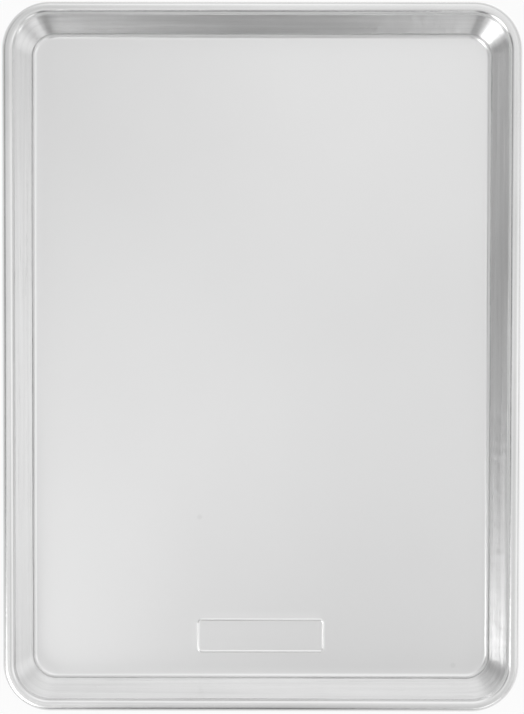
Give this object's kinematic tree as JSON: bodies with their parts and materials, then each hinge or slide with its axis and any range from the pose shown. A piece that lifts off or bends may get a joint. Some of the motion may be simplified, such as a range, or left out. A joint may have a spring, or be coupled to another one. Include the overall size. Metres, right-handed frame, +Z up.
{
  "type": "jelly roll pan",
  "caption": "Shallow rectangular baking pan pressed from one aluminium sheet, with leaning walls, round corners and a rim rolled over a steel wire.",
  "frame": {"origin": "middle of the underside of the floor, where the pan rests", "axes": "+Z up out of the open top, +Y along the long side away from the pressed border, +X across the pan"},
  "size_m": [0.292, 0.4, 0.026],
  "materials": {
    "pan_aluminium": "satin natural aluminium with faint drawing streaks on the walls",
    "wire_steel": "dull zinc-coated steel wire"
  },
  "bodies": {
    "root": {"pan_shell": "pan_aluminium", "rim_wire": "wire_steel"}
  },
  "joints": []
}
